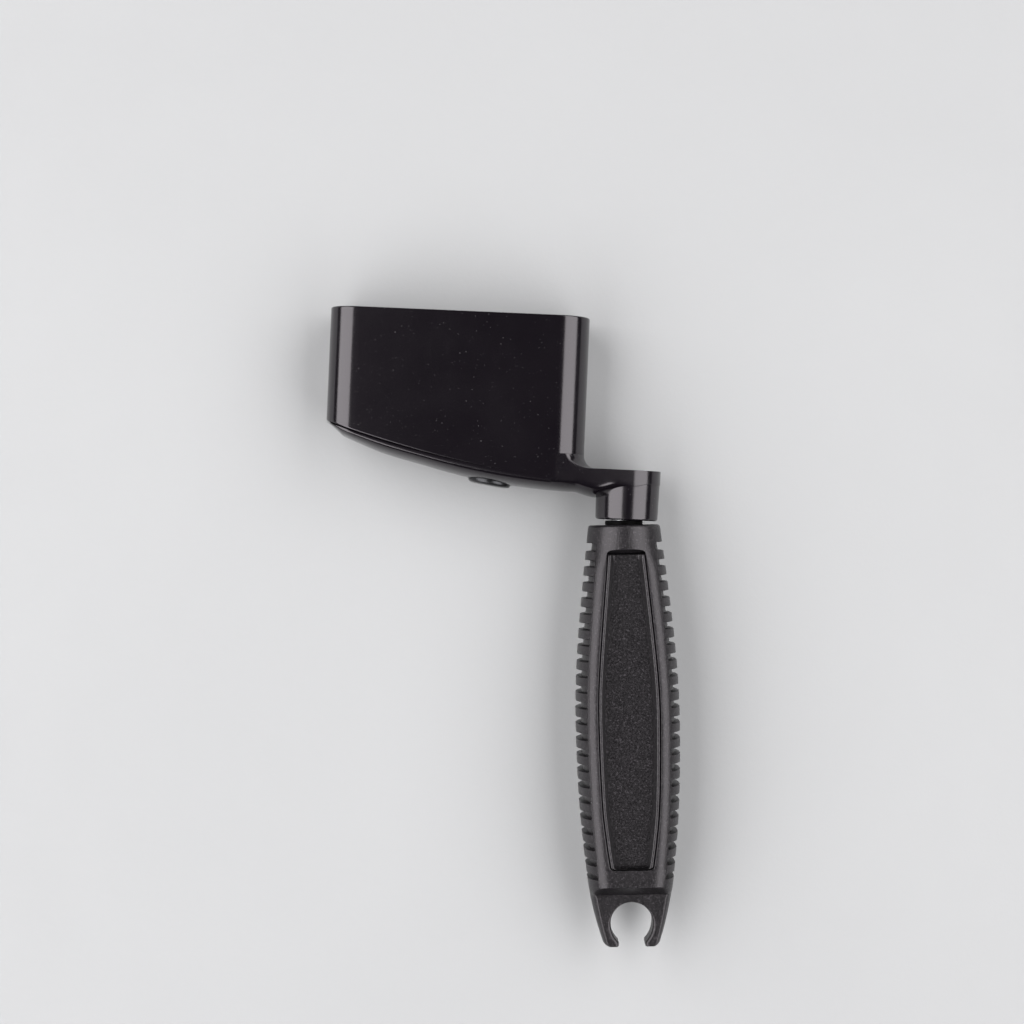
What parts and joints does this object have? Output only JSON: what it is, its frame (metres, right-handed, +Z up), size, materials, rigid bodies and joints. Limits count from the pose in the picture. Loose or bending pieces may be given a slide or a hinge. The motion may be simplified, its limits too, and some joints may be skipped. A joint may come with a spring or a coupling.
{
  "type": "string winder",
  "caption": "Hand-cranked string winder: a deep open cup on a short crank arm spins on a ribbed handle that ends in a bridge-pin notch.",
  "frame": {"origin": "middle of the part's box in X and Y, on the surface it lies on", "axes": "+Y along the spindle towards the cup's mouth, +X to the right with the cup to the left, +Z up, square to the broad sides"},
  "size_m": [0.063, 0.1166, 0.0144],
  "materials": {
    "head_gloss": "satin-gloss moulded plastic",
    "handle_texture": "spark-textured moulded plastic",
    "grip_ribs": "spark-textured, moulded in ribs",
    "panel": "fine matte texture",
    "bearing_black": "smooth",
    "screw_dark": "black oxide",
    "spindle_steel": "turned"
  },
  "bodies": {
    "handle": {"handle_body": "handle_texture", "front_inlay": "panel", "rear_inlay": "panel", "left_grip": "grip_ribs", "right_grip": "grip_ribs", "upper_bush": "bearing_black", "lower_bush": "bearing_black"},
    "head": {"socket_cup": "head_gloss", "crank_arm": "head_gloss", "cup_screw": "screw_dark", "spindle": "spindle_steel", "thrust_collar": "bearing_black", "clip_washer": "spindle_steel", "spindle_clip": "spindle_steel"}
  },
  "joints": [
    {"name": "head_spin", "type": "hinge", "parent": "handle", "child": "head", "pos_m": [0.02207, 0.01763, 0.0072], "axis": [0, 1, 0], "continuous": true}
  ]
}
